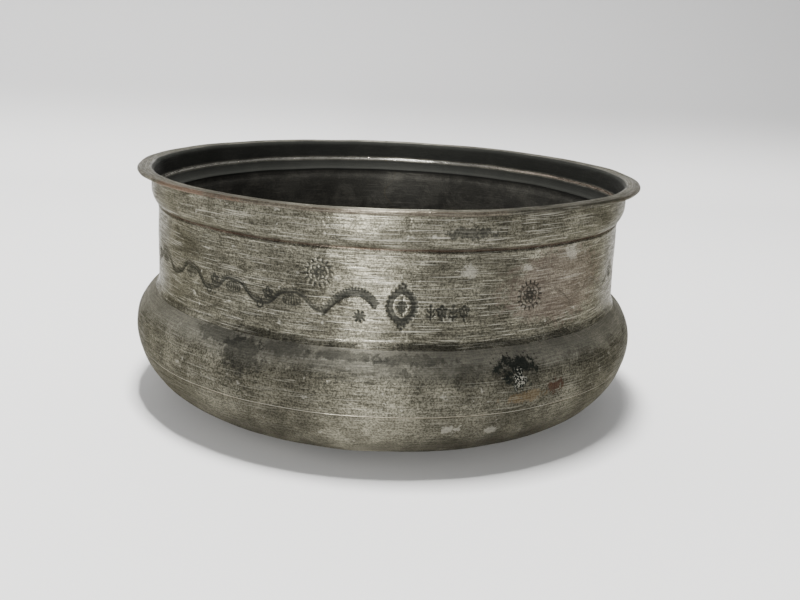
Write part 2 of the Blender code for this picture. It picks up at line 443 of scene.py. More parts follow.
def medallion():
    """A pointed oval with a scalloped border, a flower inside, and three dots above and below."""
    made = [stroke(oval(8.7, 11.2, 0.35), 0.62, 0.24), stroke(oval(7.0, 9.0, 0.4), 0.36, 0.2)]
    border = oval(10.0, 12.4, 0.3, 25)[:-1]
    made += dots(border, 0.55, 0.24)
    made += ticks(oval(9.0, 11.2, 0.35), 0.75, 1.3, 1, 0.25, 0.14)
    made += petals(6, 0.4, 1.7, 1.1) + dots([(0, 0)], 0.45, 0.2)
    made += [stroke([(0, -1.4), (0.1, -3.2)], 0.26), stroke([(0, -2.2), (1.1, -1.7)], 0.24),
             stroke([(0.0, -2.6), (-1.0, -2.0)], 0.24), stroke([(0, 1.6), (0, 3.0)], 0.24)]
    for side in (1, -1):
        made += dots([(-1.0, side * 6.9), (1.0, side * 6.9), (0, side * 7.7)], 0.55, 0.22)
    return made


def rosette(size):
    """A round flower with two rows of petals and a ring of small cuts."""
    made = petals(8, 0.9, 2.8, 1.7) + petals(5, 0.3, 1.1, 0.9)
    made += [stroke(oval(7.4, 7.2), 0.26, 0.12)] + rays(16, 3.9, 4.8, 0.1, 0.32, 0.16)
    return moved(made, 0, 0, 0, size / 9.6)


def star():
    """Eight small wedges round a dot."""
    return rays(8, 0.7, 2.0, 0.2, 0.34, 0.2) + dots([(0, 0)], 0.4, 0.2)


def sprig():
    """A punched sprig: a stem with two pairs of leaves and a bud."""
    made = [stroke([(0, -2.6), (0.15, 0), (0, 1.4)], 0.34, 0.32)]
    made += dots([(0, 2.3)], 0.62, 0.2)
    for side in (1, -1):
        made += [stroke([(0, -1.6), (side * 0.8, -1.5), (side * 1.4, -0.7)], 0.34, 0.32),
                 stroke([(0, 0.1), (side * 0.8, 0.2), (side * 1.3, 1.1)], 0.34, 0.32)]
    return made


def blossom():
    """A punched blossom: five petals round a dot, on a short foot."""
    return (moved(petals(5, 0.7, 1.9, 1.2, 0.32, 0.32), 0, 0.5, 0.3)
            + dots([(0, 0.5)], 0.5, 0.3) + [stroke([(0, -1.4), (0.1, -2.7)], 0.34, 0.32)])


def arch(left, top, right):
    """A leafy band that rises and falls again between two points, shaded on its outer side."""
    t = np.linspace(0, 1, 30)[:, None]
    left, top, right = (np.array(point, float) for point in (left, top, right))
    line = (1 - t) ** 2 * left + 2 * t * (1 - t) * (2 * top - (left + right) / 2) + t * t * right
    made = [stroke(line, 0.62, 0.24), stroke(line + (0.2, 0.9), 0.50, 0.22)]
    made += ticks(line + (0.25, 1.2), 0.95, 1.0, 1, 0.36, 0.22)
    made += ticks(line, 0.8, 0.7, -1, 0.24, 0.14)
    return made


def vine(start, end, base, faint=1.0):
    """A winding stem between two distances round the neck, its height a cosine wave about a
    line from base[0] to base[1]. It is drawn double and shaded above, with a fan of small cuts
    under each crest, and a curl and a leaf in each hollow."""
    way = 1 if end > start else -1
    u = np.arange(start, end, 0.7 * way)
    mean = base[0] + (base[1] - base[0]) * (u - start) / (end - start)
    line = np.stack([u, mean + VINE_RISE * np.cos((u - VINE_CREST) * 2 * math.pi / VINE_WAVE)
                     + 0.35 * np.sin(u * 0.83)], axis=1)
    made = [stroke(line, 0.50, 0.20 * faint), stroke(line + (0.1, 1.0), 0.34, 0.15 * faint)]
    made += ticks(line + (0.1, 0.9), 1.05, 0.9, way, 0.26, 0.14 * faint)
    made += ticks(line, 0.8, 0.6, -way, 0.22, 0.11 * faint)
    for crest in VINE_CREST + np.arange(-24, 28) * VINE_WAVE / 2:
        if not min(start, end) + 2 < crest < max(start, end) - 2:
            continue
        height = float(np.interp(crest * way, line[:, 0] * way, line[:, 1]))
        if height > np.mean(base):
            for k in range(-3, 4):
                foot = (crest + 0.8 * k, height - 1.3 - 0.12 * k * k)
                tip = (crest + 1.05 * k, height - 4.1 + 0.13 * k * k)
                made.append(stroke([foot, tip], 0.32, 0.17 * faint))
            made.append(stroke(oval(6.4, 3.6) + (crest, height - 2.7), 0.30, 0.16 * faint))
        else:
            made += moved([stroke(curl(1.7), 0.36, 0.2 * faint)], crest - 0.6,
                          height + 1.0, -math.pi / 2)
            made += moved(petals(5, 0.3, 2.0, 1.3, 0.34, 0.19 * faint), crest + 2.8,
                          height + 3.6, 0.4)
    return made


def neck_strokes():
    """Every stroke on the neck, in the order they lie from the left of the back to the right."""
    half_turn = math.pi * ENGRAVED_RADIUS / MM
    made = vine(-20.4, -90.0, (56.8, 59.0), 0.76)
    made += vine(-90.0, 14 - half_turn, (59.0, 58.0), 0.7)
    made += moved(rosette(9.6), -22.4, 67.7)
    made += arch((-20.6, 53.6), (-11.0, 61.2), (-3.1, 57.2))
    made += moved(star(), -8.2, 53.8)
    made += moved(medallion(), 5.8, 57.9)
    for number, place in enumerate(np.linspace(15.4, 27.0, 4)):
        made += moved(blossom() if number % 2 else sprig(), place, 56.0 - 0.1 * number)
    made += moved(rosette(10.4), 52.3, 59.9, 0.3)
    made += vine(64.0, 100.0, (58.5, 58.5), 0.35) + vine(100.0, half_turn - 14, (58.5, 58.0), 0.6)
    return made


def carved_neck(angles, heights):
    """Depth and mask of the engraving at each point: under each stroke a round-bottomed cut,
    deepest on its line and nothing beyond its half width; where strokes cross, the deepest."""
    u, v = angles * ENGRAVED_RADIUS, heights
    depth, mask = np.zeros(u.shape), np.zeros(u.shape)
    for line, half, deepest in neck_strokes():
        reach = 1.6 * half
        low, high = line.min(axis=0) - reach, line.max(axis=0) + reach
        rows, columns = np.nonzero((u > low[0]) & (u < high[0]) & (v > low[1]) & (v < high[1]))
        if not len(rows):
            continue
        place = np.stack([u[rows, columns], v[rows, columns]], axis=1)[:, None, :]
        a, run = line[None, :-1], np.diff(line, axis=0)[None]
        share = ((place - a) * run).sum(-1) / np.maximum((run * run).sum(-1), 1e-12)
        nearest = a + np.clip(share, 0, 1)[..., None] * run
        away = np.sqrt(((place - nearest) ** 2).sum(-1)).min(axis=1)
        cut = np.clip(1 - (away / half) ** 2, 0, 1) ** 0.8
        stain = np.clip(1 - away / reach, 0, 1)
        depth[rows, columns] = np.maximum(depth[rows, columns], deepest * cut)
        strength = min(1.0, deepest / (0.2 * MM))
        mask[rows, columns] = np.maximum(mask[rows, columns], stain * strength)
    return depth, mask


# The tin and its wear. Each group reads a point and gives only masks.


class Wiring:
    """Adds nodes to a tree. An input is given as a constant or as another node's output."""

    def __init__(self, tree):
        self.tree = tree

    def put(self, socket, value):
        if isinstance(value, bpy.types.NodeSocket):
            self.tree.links.new(value, socket)
        else:
            socket.default_value = value

    def add(self, kind, inputs=(), out=0, **settings):
        node = self.tree.nodes.new(kind)
        for key, value in settings.items():
            setattr(node, key, value)
        for key, value in dict(inputs).items():
            self.put(node.inputs[key], value)
        return node.outputs[out]

    def maths(self, operation, first, second=0.0):
        return self.add("ShaderNodeMath", {0: first, 1: second}, operation=operation)

    def times(self, first, second):
        return self.maths("MULTIPLY", first, second)

    def stretched(self, vector, x, y, z):
        return self.add("ShaderNodeVectorMath", {0: vector, 1: (x, y, z)}, operation="MULTIPLY")

    def noise(self, vector, scale, detail=4.0, roughness=0.55, distortion=0.0):
        return self.add("ShaderNodeTexNoise", {"Vector": vector, "Scale": scale,
                        "Detail": detail, "Roughness": roughness, "Distortion": distortion})

    def between(self, value, low, high, to_low=0.0, to_high=1.0):
        return self.add("ShaderNodeMapRange", {"Value": value, "From Min": low,
                        "From Max": high, "To Min": to_low, "To Max": to_high},
                        interpolation_type="SMOOTHSTEP")

    def blend(self, factor, first, second, how="MIX"):
        node = self.tree.nodes.new("ShaderNodeMix")
        node.data_type, node.blend_type = "RGBA", how
        for socket, value in zip((node.inputs[0], node.inputs[6], node.inputs[7]),
                                 (factor, first, second)):
            self.put(socket, value)
        return node.outputs[2]

    def laid_on(self, colour, mask, strength, other):
        """The colour, with the other laid over it as strongly as mask times strength."""
        return self.blend(self.times(mask, strength), colour, other)

    def height(self, point):
        return self.add("ShaderNodeSeparateXYZ", {0: point}, out=2)

    def attribute(self, name):
        return self.add("ShaderNodeAttribute", out=2, attribute_name=name)

    def group(self, tree, inputs):
        node = self.tree.nodes.new("ShaderNodeGroup")
        node.node_tree = tree
        for key, value in inputs.items():
            self.put(node.inputs[key], value)
        return node.outputs


def mask_group(name, inputs, outputs):
    """An empty node group with the named sockets, its wiring, its inputs and its output node."""
    tree = bpy.data.node_groups.new(name, "ShaderNodeTree")
    for key, kind in inputs.items():
        tree.interface.new_socket(key, in_out="INPUT", socket_type=kind)
    for key in outputs:
        tree.interface.new_socket(key, in_out="OUTPUT", socket_type="NodeSocketFloat")
    given = tree.nodes.new("NodeGroupInput").outputs
    taken = tree.nodes.new("NodeGroupOutput").inputs
    return tree, Wiring(tree), given, taken


def lathe_group():
    """Fine lines round the bowl. Point is (x, y, distance along the sheet), stretched so that
    noise runs round the bowl and changes quickly across it."""
    tree, w, given, taken = mask_group("lathe_lines", {"Point": "NodeSocketVector"},
                                       ["Fine", "Broad", "Scores", "Cuts", "Height"])
    fine = w.noise(w.stretched(given["Point"], 190, 190, 3800), 1.0, 2.0, 0.65)
    middle = w.noise(w.stretched(given["Point"], 90, 90, 2000), 1.0, 3.0, 0.6)
    broad = w.noise(w.stretched(given["Point"], 34, 34, 420), 1.0, 4.0, 0.6)
    scores = w.noise(w.stretched(given["Point"], 70, 70, 2900), 1.0, 1.0, 0.5)
    both = w.maths("ADD", w.times(fine, 0.55), w.times(middle, 0.45))
    w.put(taken["Fine"], w.between(both, 0.42, 0.57))
    w.put(taken["Broad"], w.between(broad, 0.38, 0.62))
    w.put(taken["Scores"], w.between(scores, 0.61, 0.68))
    w.put(taken["Cuts"], w.between(scores, 0.38, 0.31))
    w.put(taken["Height"], both)
    return tree


def mottle_group():
    """Uneven tarnish: broad clouds, ragged patches, grain, and small pale and dark specks."""
    tree, w, given, taken = mask_group("mottle", {"Point": "NodeSocketVector"},
                                       ["Clouds", "Patches", "Grain", "Pale", "Dark"])
    point = given["Point"]
    w.put(taken["Clouds"], w.between(w.noise(point, 38, 5, 0.6), 0.35, 0.65))
    w.put(taken["Patches"], w.between(w.noise(point, 95, 8, 0.68, 0.4), 0.42, 0.62))
    w.put(taken["Grain"], w.noise(point, 1500, 3, 0.7))
    pale = w.noise(w.stretched(point, 1, 1, 1.3), 260, 4, 0.6)
    w.put(taken["Pale"], w.between(pale, 0.64, 0.72))
    dark = w.noise(w.stretched(point, 1, 1, 1.6), 340, 5, 0.65)
    w.put(taken["Dark"], w.between(dark, 0.62, 0.70))
    return tree


def blotch_group():
    """A ragged patch round a centre: one within the size, nothing well outside it. Size is
    given along x, y and z, and Ragged is how far noise eats into its edge."""
    tree, w, given, taken = mask_group(
        "blotch", {"Point": "NodeSocketVector", "Centre": "NodeSocketVector",
                   "Size": "NodeSocketVector", "Ragged": "NodeSocketFloat"}, ["Mask"])
    off = w.add("ShaderNodeVectorMath", {0: given["Point"], 1: given["Centre"]},
                operation="SUBTRACT")
    off = w.add("ShaderNodeVectorMath", {0: off, 1: given["Size"]}, operation="DIVIDE")
    away = w.add("ShaderNodeVectorMath", {0: off}, out="Value", operation="LENGTH")
    eaten = w.times(w.maths("SUBTRACT", w.noise(given["Point"], 420, 6, 0.72), 0.5),
                    given["Ragged"])
    w.put(taken["Mask"], w.between(w.maths("ADD", away, eaten), 1.15, 0.75))
    return tree


LATHE, MOTTLE, BLOTCH = lathe_group(), mottle_group(), blotch_group()


def on_wall(degrees, height, radius=NECK_RADIUS):
    """The point on the wall at an angle from the front and a height in millimetres."""
    angle = math.radians(degrees)
    return (radius * math.sin(angle), -radius * math.cos(angle), height * MM)


def patch(w, point, degrees, height, size, ragged=3.0, radius=NECK_RADIUS):
    """The mask of one blotch on the wall, its size in millimetres wide and high."""
    wide, high = size[0] * MM, size[1] * MM
    return w.group(BLOTCH, {"Point": point, "Centre": on_wall(degrees, height, radius),
                            "Size": (wide, wide, high), "Ragged": ragged})["Mask"]


TIN_LIGHT = (0.315, 0.300, 0.232, 1)
TIN_MID = (0.185, 0.175, 0.133, 1)
TIN_DARK = (0.055, 0.051, 0.038, 1)
PATINA_AND_PAINTED_SHADE = (0.022, 0.023, 0.021, 1)
COPPER = (0.20, 0.105, 0.070, 1)
PALE_TIN_AND_PAINTED_LIGHT = (0.52, 0.505, 0.43, 1)
OCHRE = (0.22, 0.15, 0.075, 1)
RUST = (0.060, 0.027, 0.019, 1)
HAZE = (0.135, 0.100, 0.083, 1)
CRUST = (0.016, 0.020, 0.018, 1)
GLINT_COPPER = (0.50, 0.41, 0.34, 1)
GLINT_WHITE = (0.80, 0.78, 0.71, 1)
STAIN_DARK = (0.055, 0.054, 0.050, 1)
STAIN_LIGHT = (0.080, 0.078, 0.071, 1)


def new_material(name):
    """A material, its shader and its wiring."""
    material = bpy.data.materials.new(name)
    material.use_nodes = True
    return material, material.node_tree.nodes["Principled BSDF"], Wiring(material.node_tree)


def worn_tin(name, marks, lined=0.8, pitted=0.5, inside_dark=0.85, dull=0.0):
    """Worn tin: clouds of light and dark grey, cut by lathe lines as strongly as lined says and
    pitted as pitted says, stained inside and in the engraving, and rougher by dull. A highlight
    is painted on the ledge's crest inside, and shade on the collar and the slope beside it.
    marks(w, point, colour, mottle) adds what this piece shows."""
    material, shader, w = new_material(name)
    point = w.add("ShaderNodeTexCoord", out=3)
    along, inner, engraved = (w.attribute(key) for key in ("along", "inner", "engraved"))
    spread = w.add("ShaderNodeSeparateXYZ", {0: point}, out=0).node.outputs
    sheet = w.add("ShaderNodeCombineXYZ", {0: spread[0], 1: spread[1], 2: along})
    lathe = w.group(LATHE, {"Point": sheet})
    mottle = w.group(MOTTLE, {"Point": point})
    grain = w.between(mottle["Grain"], 0.40, 0.58)
    colour = w.blend(mottle["Clouds"], TIN_MID, TIN_LIGHT)
    for mask, least in ((lathe["Fine"], 1 - 0.42 * lined), (lathe["Broad"], 1 - 0.22 * lined),
                        (grain, 1 - 0.85 * pitted), (mottle["Patches"], 1 - 0.55 * pitted)):
        shade = w.between(mask, 0.0, 1.0, least, 1.0)
        colour = w.blend(1.0, colour, shade, "MULTIPLY")
    colour = w.laid_on(colour, lathe["Scores"], 0.45 * lined, PALE_TIN_AND_PAINTED_LIGHT)
    colour = w.laid_on(colour, lathe["Cuts"], 0.60 * lined, TIN_DARK)
    colour = w.laid_on(colour, mottle["Pale"], 0.6 * pitted, PALE_TIN_AND_PAINTED_LIGHT)
    colour = w.laid_on(colour, mottle["Dark"], 0.8 * pitted, PATINA_AND_PAINTED_SHADE)
    colour = marks(w, point, colour, mottle)
    cut = w.between(w.maths("ADD", engraved, w.times(mottle["Grain"], 0.5)), 0.38, 0.80)
    cut = w.times(cut, w.between(mottle["Clouds"], -1.1, 0.5))
    colour = w.laid_on(colour, cut, 0.78, PATINA_AND_PAINTED_SHADE)
    stained = w.blend(mottle["Patches"], STAIN_DARK, STAIN_LIGHT)
    colour = w.laid_on(colour, inner, inside_dark, stained)
    ledge = w.attribute("ledge")
    # Painted shade: inside, the collar's wall under the lip and the slope below the ledge are laid
    # over with near-black, and made rougher below.
    hollow = w.between(ledge, 0.0, -1.0)
    colour = w.laid_on(colour, hollow, 0.92, PATINA_AND_PAINTED_SHADE)
    # Painted highlight: a pale line on the ledge's crest inside, white for most of its way round
    # and copper-toned towards the right, with less roughness below.
    painted_ledge_glint = w.times(w.between(inner, 0.6, 0.1), w.between(ledge, 0.0, 1.0))
    painted_ledge_glint = w.times(painted_ledge_glint, w.between(mottle["Clouds"], 0.0, 1.0, 0.60, 1.0))
    ledge_glint_colour = w.blend(w.between(spread[0], 0.02, 0.08), GLINT_WHITE, GLINT_COPPER)
    colour = w.blend(painted_ledge_glint, colour, ledge_glint_colour)
    w.put(shader.inputs["Base Color"], colour)
    w.put(shader.inputs["Metallic"], w.between(inner, 0.0, 1.0, 0.88, 0.30))
    rough = w.between(lathe["Fine"], 0.0, 1.0, 0.52 + dull, 0.34 + dull)
    for mask, more in ((mottle["Patches"], 0.06), (cut, 0.22), (inner, 0.14), (painted_ledge_glint, -0.20),
                       (hollow, 0.25)):
        rough = w.maths("ADD", rough, w.times(mask, more))
    w.put(shader.inputs["Roughness"], rough)
    for key, value in (("Specular IOR Level", 0.10), ("Anisotropic", 0.88),
                       ("Anisotropic Rotation", 0.25), ("Specular Tint", (0.50, 0.49, 0.45, 1))):
        shader.inputs[key].default_value = value
    tangent = w.add("ShaderNodeTangent", direction_type="RADIAL", axis="Z")
    w.put(shader.inputs["Tangent"], tangent)
    height = w.maths("ADD", w.times(lathe["Height"], 0.9),
                     w.times(mottle["Grain"], 0.5 * pitted + 0.15))
    height = w.maths("ADD", height, w.times(mottle["Patches"], 0.8 * pitted))
    bump = w.add("ShaderNodeBump", {"Strength": 0.8, "Distance": 0.00012, "Height": height})
    w.put(shader.inputs["Normal"], bump)
    return material


FACE = wall_face()


def between_heights(low, high):
    """The outside and the inside of the wall between two heights of the outside."""
    rows = np.nonzero((FACE[:, 1] <= high) & (FACE[:, 1] >= low))[0]
    rows = np.arange(max(rows[0] - 1, 0), rows[-1] + 1)
    return FACE[rows], set_in(FACE, SHEET)[rows]


HEM_STEP = 0.00030       # spacing of the rows round the hem
HEM_SOFTENING = 0.00012
HEM_GAP = 0.00005        # between the hem's folded edge and the wall's underside


def lip_section():
    """The lip and collar: outside down to the crease, inside back up, and round the hem."""
    chosen = FACE[:, 1] >= STEP_LOW
    outside, inside = even(FACE[chosen], 0.00032), set_in(FACE, SHEET)[chosen][::-1]
    low, high = RIM_HEIGHT - HEM_THICKNESS, RIM_HEIGHT
    inner_edge, outer = LIP_RADIUS - HEM_WIDTH, LIP_RADIUS - HEM_ROUND
    hem = np.concatenate([
        straight((inner_edge, high), (outer, high)),
        turned_arc((outer, high - HEM_ROUND), HEM_ROUND, math.pi / 2, 0.0),
        turned_arc((outer, low + HEM_ROUND), HEM_ROUND, 0.0, -math.pi / 2),
        straight((outer, low), (inner_edge, low)),
        straight((inner_edge, low), (inner_edge, RIM_HEIGHT - SHEET - HEM_GAP))])
    hem = even(softened(even(hem, FINE), HEM_SOFTENING), HEM_STEP)
    hem = np.column_stack([hem, -FINE - np.arange(len(hem)) * HEM_STEP])
    return outside, np.concatenate([even(inside, 0.00034), hem[1:]])


def lip_marks(w, point, colour, mottle):
    """Copper shows at the crease under the collar and along the lip's edge."""
    crease = w.between(w.height(point), STEP_LOW + 0.0009, STEP_LOW)
    colour = w.laid_on(colour, crease, 0.55, RUST)
    edge = w.between(w.attribute("along"), -0.0006, -0.0026)
    edge = w.times(edge, w.between(mottle["Clouds"], 0.1, 0.8))
    worn = patch(w, point, -44, 90, (26, 5), 2.0, LIP_RADIUS)
    worn = w.between(worn, 0.0, 1.0, 0.15, 0.62)
    colour = w.laid_on(colour, edge, worn, COPPER)
    top = w.between(w.attribute("along"), 0.0, -0.0001)
    colour = w.laid_on(colour, top, 0.25, TIN_DARK)
    stain = patch(w, point, 17.0, 83.0, (9, 2.2), 4.0, COLLAR_RADIUS)
    return w.laid_on(colour, stain, 0.7, PATINA_AND_PAINTED_SHADE)


def neck_marks(w, point, colour, mottle):
    """A brownish haze on the right, three bare patches there, and rust under the collar."""
    haze = patch(w, point, 42, 62, (26, 13), 2.5)
    colour = w.laid_on(colour, haze, 0.42, HAZE)
    shade = patch(w, point, 24, 70, (11, 7), 3.0)
    colour = w.laid_on(colour, shade, 0.35, TIN_DARK)
    for degrees, height, size in ((17.5, 69.7, (3.2, 2.2)), (44.8, 73.0, (3.2, 3.2)),
                                  (31.5, 69.5, (2.0, 1.2))):
        bare = patch(w, point, degrees, height, size, 5.0)
        colour = w.laid_on(colour, bare, 0.30, PALE_TIN_AND_PAINTED_LIGHT)
    high = w.between(w.height(point), STEP_LOW - 0.0007, STEP_LOW)
    return w.laid_on(colour, high, 0.55, RUST)


# Stains on the shoulder: degrees from the front, height, size in millimetres and strength.
STAINS = ((-29, 37.5, (9, 6.5), 0.60), (-36, 41.5, (13, 2.6), 0.50), (-20, 41.2, (11, 2.2), 0.50),
          (-7, 41.0, (13, 1.6), 0.50), (6, 40.6, (14, 1.6), 0.45), (-4, 37.0, (18, 4.0), 0.35),
          (12, 36.0, (16, 4.0), 0.35), (27.2, 36.5, (9, 6), 0.25), (44, 36.0, (7, 5), 0.15))


# Radius of the shoulder at the stains, at the crust and at the rusty spot.
AT_STAINS, AT_CRUST, AT_RUST = 0.0995, 0.1005, 0.1013


def shoulder_marks(w, point, colour, mottle):
    """Painted light in the waist, making the tin paler against the shade of its crease, dark
    stains below it and on the left, a dark crust with white specks at the right of the front, and
    a rusty spot with an ochre smear beside it."""
    ragged = w.maths("ADD", w.height(point), w.times(mottle["Patches"], 0.0022))
    # Painted light: the tin is made paler from 35 to 41 mm up to the crease at the waist.
    waist = w.between(ragged, 0.0350, 0.0410)
    colour = w.laid_on(colour, waist, 0.28, PALE_TIN_AND_PAINTED_LIGHT)
    for degrees, up, size, strength in STAINS:
        stain = patch(w, point, degrees, up, size, 2.6, AT_STAINS)
        colour = w.laid_on(colour, stain, strength, PATINA_AND_PAINTED_SHADE)
    for degrees, up, size in ((27.0, 37.6, (7.6, 3.6)), (27.4, 33.2, (3.8, 5.0))):
        crust = patch(w, point, degrees, up, size, 5.5, AT_CRUST)
        colour = w.laid_on(colour, crust, 0.88, CRUST)
    specks = w.times(patch(w, point, 27.6, 33.6, (2.8, 4.0), 4.0, AT_CRUST),
                     w.between(mottle["Grain"], 0.53, 0.57))
    colour = w.laid_on(colour, specks, 0.8, PALE_TIN_AND_PAINTED_LIGHT)
    rust = patch(w, point, 36.5, 28.8, (3.6, 2.4), 5.5, AT_RUST)
    colour = w.laid_on(colour, rust, 0.75, RUST)
    smear = patch(w, point, 30.0, 26.8, (8.0, 2.0), 5.5, AT_RUST)
    return w.laid_on(colour, smear, 0.35, OCHRE)


ENGRAVED_LOW, ENGRAVED_HIGH = 0.0485, 0.0735
OVERLAP = 0.0001         # keeps a point of the outline on either side of each join


def neck_section():
    """The neck, its outside close-stepped where it is engraved."""
    outside, inside = between_heights(CREASE[1], STEP_LOW)
    z = outside[:, 1]
    engraved = (z <= ENGRAVED_HIGH + OVERLAP) & (z >= ENGRAVED_LOW - OVERLAP)
    parts = [even(outside[z >= ENGRAVED_HIGH], 0.0004)[:-1],
             even(outside[engraved], 0.00042)[:-1],
             even(outside[z <= ENGRAVED_LOW], 0.0006)]
    return np.concatenate(parts), even(inside[::-1], 0.0022)


def shoulder_section():
    """The shoulder, from the crease at the waist down to the wall's lower edge."""
    outside, inside = between_heights(0.0, CREASE[1])
    return even(outside, 0.00036), even(inside[::-1], 0.0010)


LIP, NECK, SHOULDER = lip_section(), neck_section(), shoulder_section()
show_as(wall_piece("lip_and_collar", *LIP), "side_wall",
        worn_tin("tin_lip", lip_marks, lined=0.95, pitted=0.66, inside_dark=0.80, dull=-0.06))
show_as(wall_piece("neck_band", *NECK, carved_neck), "side_wall",
        worn_tin("tin_neck", neck_marks, lined=0.85, pitted=0.72, dull=-0.12))
show_as(wall_piece("shoulder", *SHOULDER), "side_wall",
        worn_tin("tin_shoulder", shoulder_marks, lined=0.5, pitted=0.70, dull=0.15))

# ---------------------------------------------------------------------------------------------
# The side seam: where the strip's two toothed ends meet at the back they are brazed together,
# and the brass shows as a thin zigzag line from the hem to the wall's lower edge.

BRASS = (0.34, 0.26, 0.13, 1)
BRASS_DULL = (0.17, 0.135, 0.080, 1)


def seam_section():
    """The rows of the wall's three lengths in one section, each row once, so that the brass
    fills the slit between the wall's ends exactly."""
    outside = np.concatenate([LIP[0][:-1], NECK[0][:-1], SHOULDER[0]])
    inside = np.concatenate([SHOULDER[1][:-1], NECK[1][:-1], LIP[1]])
    return np.concatenate([outside, inside]), len(outside)


def seam_piece():
    """The whole wall's section between the leaning ends of the wall."""
    section, outside_rows = seam_section()
    swing = leaning(np.array([math.pi - SLIT]), section[:, 2]) - (math.pi - SLIT)
    across = np.linspace(-SLIT, SLIT, 5)[None, :]
    angles = math.pi + swing + across
    points = hammered(turned_points(section, angles))
    return ring_piece("side_seam_brass", points, wall_masks(section, outside_rows, angles.shape),
                      outside_rows)


def brass_shows(w, point, colour, mottle):
    """Brass shows dull through the tin along the seam, more in some places than in others."""
    brass = w.blend(mottle["Patches"], BRASS, BRASS_DULL)
    return w.blend(w.between(mottle["Clouds"], -0.5, 1.0, 0.10, 0.55), colour, brass)


show_as(seam_piece(), "side_seam_braze", worn_tin("brass_side_seam", brass_shows))

# ---------------------------------------------------------------------------------------------
# The pan: the bottom, one dished disc of the same sheet. Its rim is set in by the sheet's
# thickness, slips up inside the wall and is brazed there, level with the wall outside.

LAP = 0.0060
SPELTER = 0.0005
CLEARANCE = 0.0003
LAP_DEPTH = SHEET + SPELTER + 2 * CLEARANCE
BASE_RADIUS = BELLY_RADIUS - BELLY_ROUND
ROUND_THE_PAN = np.linspace(-math.pi, math.pi, 481)[:-1]


def pan_face():
    """The pan's outside: rim, joggle out to the belly's arc, and flat base in to the axis."""
    edge = SEAM_DROP + CLEARANCE / 2
    arc_end = BELLY_ROUND * math.pi / 2
    parts = [belly_curve(SEAM_DROP - LAP, edge, LAP_DEPTH), belly_curve(edge, arc_end),
             straight((BASE_RADIUS, 0.0), (0.0, 0.0))]
    joined = even(np.concatenate([parts[0], [parts[1][0]], parts[1], parts[2]]), FINE)
    return with_length(softened(joined, 0.0002))


def dished_piece(name, section, masks):
    """A section from the axis inside the dish, round its rim and back to the axis, turned all
    the way round, with one point at either pole."""
    points = hammered(turned_points(section, ROUND_THE_PAN))
    rows, columns = points.shape[:2]
    index = np.arange((rows - 2) * columns).reshape(rows - 2, columns) + 1
    right = np.roll(index, -1, axis=1)
    quads = np.stack([index[:-1], index[1:], right[1:], right[:-1]], axis=-1).reshape(-1, 4)
    pole = np.zeros(columns, int)
    first = np.stack([pole, index[0], right[0]], axis=-1)
    last = np.stack([pole + index[-1, -1] + 1, right[-1], index[-1]], axis=-1)
    vertices = np.concatenate([points[:1, 0], points[1:-1].reshape(-1, 3), points[-1:, 0]])
    flat = {key: np.r_[mask[0], np.repeat(mask[1:-1], columns), mask[-1]]
            for key, mask in masks.items()}
    return piece_from(name, vertices, [quads, np.concatenate([first, last])], flat)


def pan_marks(w, point, colour, mottle):
    """The pan is darker where it turns under, with two bare patches at the right of the front."""
    under = w.between(w.height(point), 0.022, 0.002, 0.20, 0.45)
    colour = w.blend(under, colour, TIN_DARK)
    for degrees, up, size in ((14.0, 16.7, (3.0, 2.0)), (22.8, 14.7, (2.6, 1.8))):
        bare = patch(w, point, degrees, up, size, 5.0, 0.098)
        colour = w.laid_on(colour, bare, 0.35, PALE_TIN_AND_PAINTED_LIGHT)
    return colour


PAN_FACE = pan_face()
pan_outside = even(PAN_FACE, 0.0010)
pan_inside = even(set_in(PAN_FACE, SHEET)[::-1], 0.0018)
pan_inside[0, 0] = pan_outside[-1, 0] = 0.0
pan_section = np.concatenate([pan_inside, pan_outside])
pan_masks = {"along": pan_section[:, 2],
             "inner": (np.arange(len(pan_section)) < len(pan_inside)).astype(float),
             "engraved": np.zeros(len(pan_section))}
show_as(dished_piece("bottom_dish", pan_section, pan_masks), "bottom_pan",
        worn_tin("tin_pan", pan_marks, lined=0.4, pitted=0.70, dull=0.15))

# ---------------------------------------------------------------------------------------------
# The bottom seam: brass run into the lap between the pan's rim and the wall, showing outside
# as a hair line round the lower belly and inside as a low fillet above the rim.


SPELTER_FILLET = 0.0006  # how far the brass shows above the pan's rim
FILLET_LOW = 0.0225      # height above which the brass is stained like the inside
FOOT_HEIGHT = 0.0002     # how far the brass's foot goes under the wall's edge
FOOT_PROUD = 0.00004
HAIR = 0.00002


def brass_under_painted_highlight(w, point, colour, mottle):
    """The line takes a painted pale highlight, with a little brass in it."""
    # Painted highlight: the whole brass ring is paled nearly halfway to light tin.
    colour = w.blend(0.45, colour, PALE_TIN_AND_PAINTED_LIGHT)
    return w.blend(w.between(mottle["Clouds"], 0.0, 1.0, 0.05, 0.25), colour, BRASS)


def ring_section():
    """The brass in section: a thin layer up the lap, with a foot out to the belly's face."""
    top, edge = SEAM_DROP - LAP - SPELTER_FILLET, SEAM_DROP + CLEARANCE / 2
    outer, inner = SHEET + CLEARANCE / 2, LAP_DEPTH - CLEARANCE / 2
    parts = [belly_curve(top, SEAM_DROP + HAIR, outer),
             belly_curve(SEAM_DROP + HAIR, edge + FOOT_HEIGHT, -FOOT_PROUD),
             belly_curve(edge + FOOT_HEIGHT, top, inner)]
    return with_length(even(np.concatenate([*parts, parts[0][:1]]), 0.00025)[:-1])


ring = ring_section()
ring_points = hammered(turned_points(ring, ROUND_THE_PAN))
ring_masks = all_round(ring_points.shape[:2], along=ring[:, 2],
                       inner=(ring[:, 1] > FILLET_LOW).astype(float),
                       engraved=np.zeros(len(ring)))
show_as(ring_piece("bottom_seam_brass", ring_points, ring_masks), "bottom_seam_braze",
        worn_tin("brass_bottom_seam", brass_under_painted_highlight))

